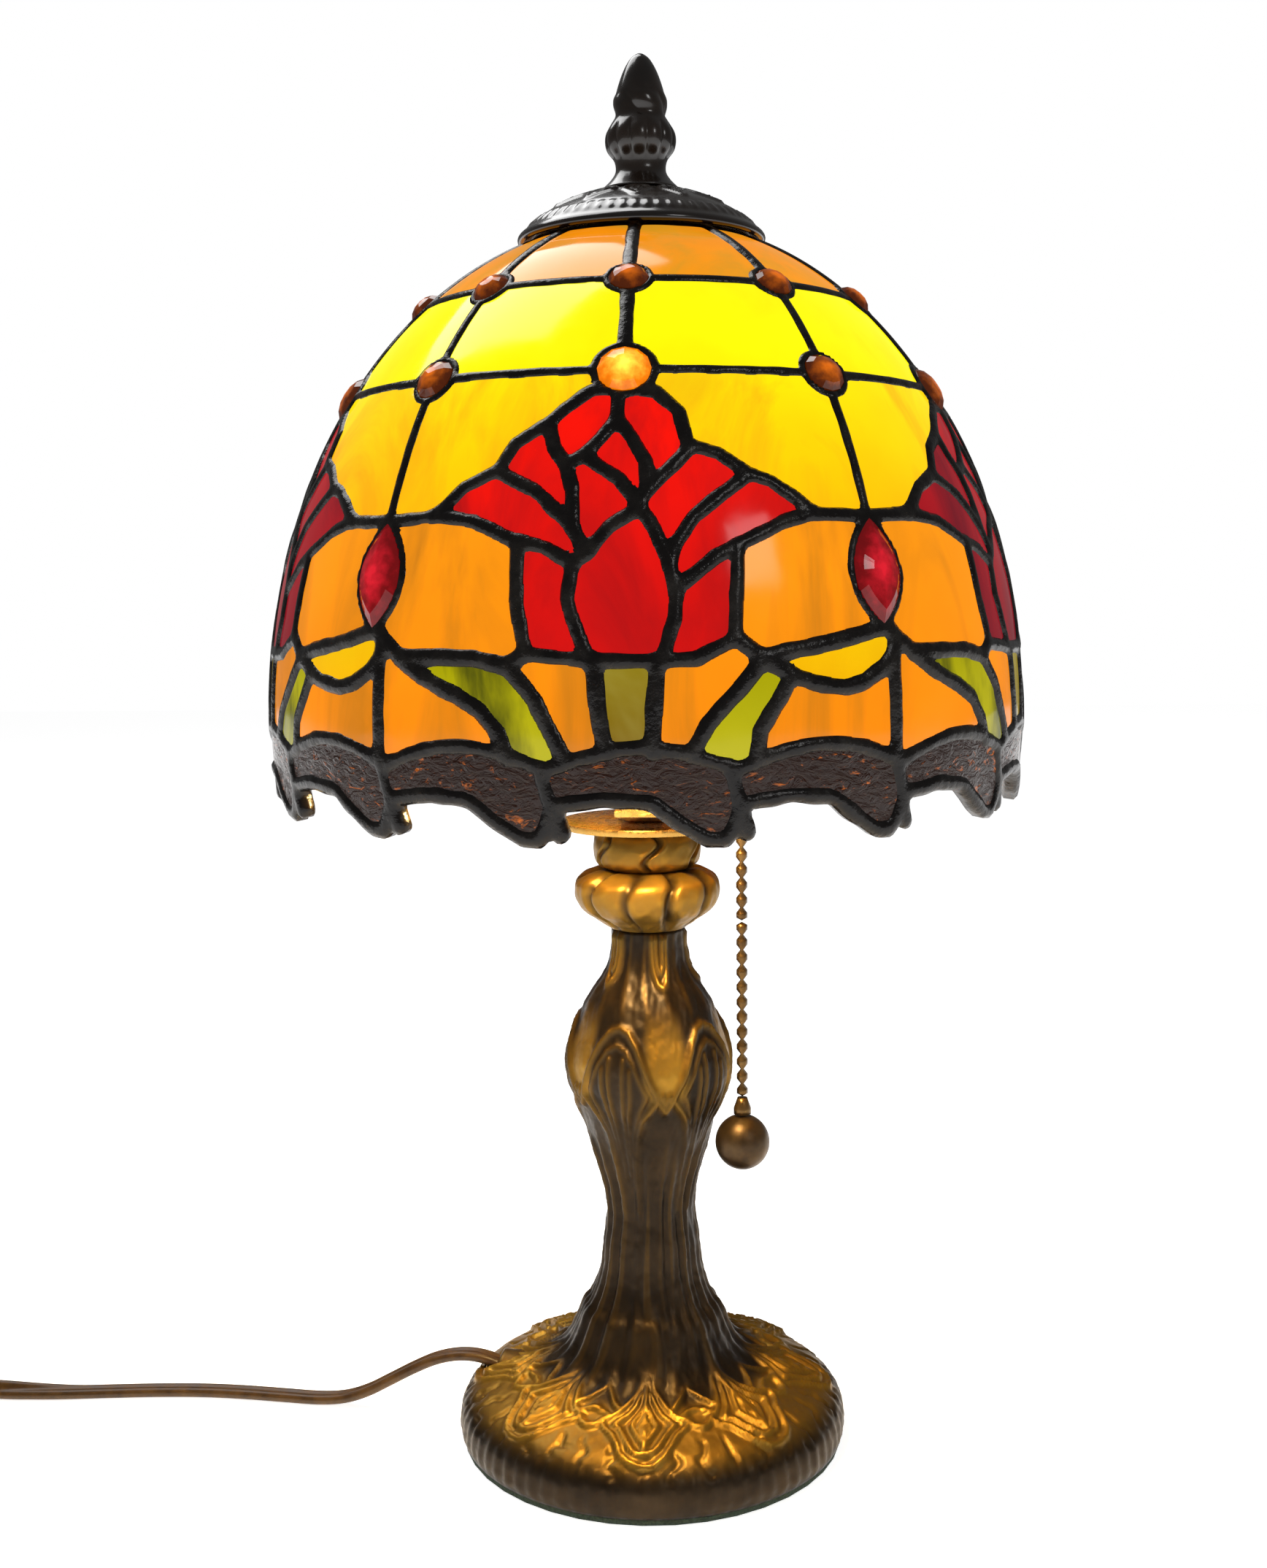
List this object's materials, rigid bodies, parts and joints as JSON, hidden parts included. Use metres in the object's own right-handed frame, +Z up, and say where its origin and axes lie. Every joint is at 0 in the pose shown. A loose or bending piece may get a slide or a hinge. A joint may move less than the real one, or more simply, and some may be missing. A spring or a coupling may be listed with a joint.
{
  "type": "stained glass table lamp",
  "caption": "Small table lamp with a leaded stained glass dome shade in a tulip pattern, cast bronze-finish base, pull-chain switch and flat cord with plug.",
  "frame": {"origin": "centre of the felt pad's underside, on the table, on the lamp's axis", "axes": "+Z up along the lamp's axis; -Y is the front, where a tulip faces the viewer; +X is the viewer's right"},
  "size_m": [0.3804, 0.2016, 0.38],
  "materials": {
    "felt": "dense felt pad",
    "steel": "stamped steel",
    "antique_bronze": "antique bronze finish rubbed to gold on the raised relief",
    "zinc": "zinc plated steel",
    "brass": "brass, slightly tarnished",
    "chain_bronze": "antique bronze plated, smooth",
    "card": "pressed insulating card",
    "phenolic": "dark moulded phenolic",
    "bulb_glass": "frosted warm white glass",
    "solder": "solder beads with a black patina",
    "dark_enamel": "very dark brown gloss finish",
    "cord_plastic": "brown vinyl, flat twin lead",
    "tie_plastic": "black plastic tie",
    "plug_plastic": "brown moulded vinyl",
    "amber_glass": "opalescent yellow to amber sheet glass",
    "red_glass": "streaky red sheet glass",
    "orange_glass": "orange opalescent sheet glass",
    "brown_glass": "dark brown ripple glass"
  },
  "bodies": {
    "base": {"felt_pad": "felt", "base_cover": "steel", "base_casting": "antique_bronze", "threaded_rod": "zinc", "bottom_nut": "zinc", "petal_collar": "antique_bronze", "upper_collar": "antique_bronze", "socket_plate": "brass", "top_nut": "zinc", "harp_saddle": "brass", "harp": "brass", "socket_cap": "brass", "socket_shell": "brass", "socket_liner": "card", "switch_block": "phenolic", "screw_shell": "brass", "center_contact": "brass", "chain_guide": "brass", "power_cord": "cord_plastic", "cord_coil": "cord_plastic", "cord_tie": "tie_plastic", "plug_body": "plug_plastic", "plug_blade_left": "brass", "plug_blade_right": "brass"},
    "shade": {"upper_glass_1": "amber_glass", "tulip_glass_1": "red_glass", "skirt_glass_1": "orange_glass", "border_glass_1": "brown_glass", "upper_glass_2": "amber_glass", "tulip_glass_2": "red_glass", "skirt_glass_2": "orange_glass", "border_glass_2": "brown_glass", "upper_glass_3": "amber_glass", "tulip_glass_3": "red_glass", "skirt_glass_3": "orange_glass", "border_glass_3": "brown_glass", "upper_glass_4": "amber_glass", "tulip_glass_4": "red_glass", "skirt_glass_4": "orange_glass", "border_glass_4": "brown_glass", "upper_glass_5": "amber_glass", "tulip_glass_5": "red_glass", "skirt_glass_5": "orange_glass", "border_glass_5": "brown_glass", "came_lattice": "solder", "shade_spider": "brass", "vented_cap": "dark_enamel"},
    "finial_thread": {"finial_insert": "brass"},
    "finial": {"finial": "dark_enamel"},
    "bulb": {"bulb_base": "brass", "bulb_glass": "bulb_glass"},
    "switch_lever": {"switch_lever": "steel"},
    "inner_chain": {"inner_chain": "chain_bronze"},
    "chain_pull": {"chain_top_link": "chain_bronze"},
    "chain_swing": {"pull_chain_upper": "chain_bronze"},
    "chain_end": {"pull_chain_lower": "chain_bronze", "chain_coupling": "chain_bronze", "pull_ball": "chain_bronze"}
  },
  "joints": [
    {"name": "shade_turn", "type": "hinge", "parent": "base", "child": "shade", "pos_m": [0, 0, 0.331], "axis": [0, 0, 1], "continuous": true},
    {"name": "finial_lift", "type": "slide", "parent": "base", "child": "finial_thread", "axis": [0, 0, 1], "range_m": [0, 0.011]},
    {"name": "finial_turn", "type": "hinge", "parent": "finial_thread", "child": "finial", "pos_m": [0, 0, 0.36], "axis": [0, 0, 1], "range_deg": [0, 4300]},
    {"name": "bulb_turn", "type": "hinge", "parent": "base", "child": "bulb", "pos_m": [0, 0, 0.24], "axis": [0, 0, 1], "range_deg": [0, 360]},
    {"name": "chain_pull", "type": "slide", "parent": "base", "child": "chain_pull", "axis": [0, 0, -1], "range_m": [0, 0.006], "stiffness_N_per_m": 800, "springref_m": -0.003},
    {"name": "inner_chain_slide", "type": "slide", "parent": "base", "child": "inner_chain", "axis": [0.9011, -0.4337, 0], "range_m": [0, 0.0065]},
    {"name": "switch_lever_turn", "type": "hinge", "parent": "base", "child": "switch_lever", "pos_m": [0.01158, 0.00331, 0.212], "axis": [0, 0, 1], "range_deg": [0, 48]},
    {"name": "chain_swing", "type": "hinge", "parent": "chain_pull", "child": "chain_swing", "pos_m": [0.02613, -0.01258, 0.20312], "axis": [0.4337, 0.9011, 0], "range_deg": [-30, 1.5]},
    {"name": "chain_end_swing", "type": "hinge", "parent": "chain_swing", "child": "chain_end", "pos_m": [0.02613, -0.01258, 0.15026], "axis": [0.9011, -0.4337, 0], "range_deg": [-25, 25]}
  ],
  "couplings": [
    {"joint": "finial_turn", "follows": "finial_lift", "rad_per_m": 6684.2},
    {"joint": "inner_chain_slide", "follows": "chain_pull", "ratio": 1},
    {"joint": "switch_lever_turn", "follows": "chain_pull", "rad_per_m": 125}
  ]
}
